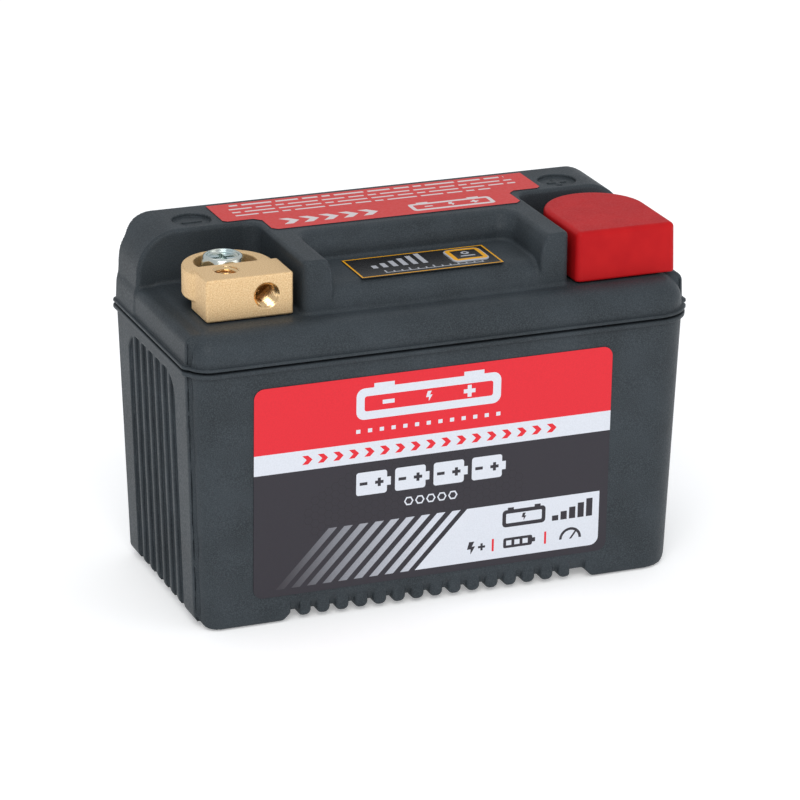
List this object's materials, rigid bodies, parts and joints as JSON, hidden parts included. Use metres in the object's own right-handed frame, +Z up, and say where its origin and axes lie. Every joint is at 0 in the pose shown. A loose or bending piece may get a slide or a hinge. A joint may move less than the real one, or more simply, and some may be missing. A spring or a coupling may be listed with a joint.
{
  "type": "motorcycle battery",
  "caption": "Boxy ribbed battery with two recessed brass block terminals, one under a lift-off red cap, and a charge gauge with a test button in a well on top.",
  "frame": {"origin": "middle of the battery's footprint, on the tray it stands on", "axes": "+X along the length towards the positive terminal, -Y the labelled front, +Z up"},
  "size_m": [0.134, 0.065, 0.0894],
  "materials": {
    "case_plastic": "dark slate grey moulded plastic with a fine sparkle grain",
    "label_red": "printed vinyl film, satin",
    "label_black": "printed film, satin black",
    "brass": "fine sand-blasted brass, bright inside the threads",
    "zinc_steel": "blue zinc-plated steel",
    "wire_black": "black insulation",
    "wire_red": "red insulation",
    "cap_plastic": "red satin moulded plastic",
    "board_green": "green solder mask",
    "led_red": "tinted clear resin",
    "chip_black": "black moulded resin",
    "connector_white": "off-white nylon",
    "cell_sleeve": "blue shrink sleeve over a metal can",
    "holder_plastic": "black moulded plastic",
    "nickel": "nickel strip",
    "foam_grey": "closed-cell grey foam"
  },
  "bodies": {
    "battery": {"case_tub": "case_plastic", "case_lid": "case_plastic", "front_label": "label_red", "top_label": "label_red", "display_label": "label_black", "negative_terminal": "brass", "positive_terminal": "brass", "negative_insert": "brass", "positive_insert": "brass", "negative_screw": "zinc_steel", "negative_spring_washer": "zinc_steel", "negative_lug": "zinc_steel", "negative_nut": "zinc_steel", "positive_screw": "zinc_steel", "positive_spring_washer": "zinc_steel", "positive_lug": "zinc_steel", "positive_nut": "zinc_steel", "display_screw_left": "zinc_steel", "display_screw_right": "zinc_steel", "negative_lead": "wire_black", "sense_lead_1": "wire_black", "sense_lead_2": "wire_black", "sense_lead_3": "wire_black", "sense_lead_4": "wire_black", "display_lead": "wire_black", "positive_lead": "wire_red", "sense_lead_5": "wire_red", "display_board": "board_green", "balance_board": "board_green", "display_lamp_1": "led_red", "display_lamp_2": "led_red", "display_lamp_3": "led_red", "display_lamp_4": "led_red", "display_lamp_5": "led_red", "display_lamp_6": "led_red", "tact_switch": "chip_black", "power_switch_1": "chip_black", "power_switch_2": "chip_black", "power_switch_3": "chip_black", "balance_chip": "chip_black", "balance_socket": "connector_white", "cell_1": "cell_sleeve", "cell_2": "cell_sleeve", "cell_3": "cell_sleeve", "cell_4": "cell_sleeve", "lower_cell_holder": "holder_plastic", "upper_cell_holder": "holder_plastic", "negative_tab": "nickel", "positive_tab": "nickel", "series_link_top": "nickel", "series_link_left": "nickel", "series_link_right": "nickel", "foam_base": "foam_grey", "foam_block": "foam_grey"},
    "button": {"test_button": "label_black"},
    "plunger": {"tact_plunger": "chip_black"},
    "cap": {"terminal_cap": "cap_plastic"}
  },
  "joints": [
    {"name": "button_press", "type": "slide", "parent": "battery", "child": "button", "axis": [0, 0, -1], "range_m": [0, 0.0004], "stiffness_N_per_m": 900, "springref_m": -0.0005},
    {"name": "plunger_press", "type": "slide", "parent": "battery", "child": "plunger", "axis": [0, 0, -1], "range_m": [0, 0.0004]},
    {"name": "cap_lift", "type": "slide", "parent": "battery", "child": "cap", "axis": [0, 0, 1], "range_m": [0, 0.03]}
  ],
  "couplings": [
    {"joint": "plunger_press", "follows": "button_press", "ratio": 1}
  ]
}
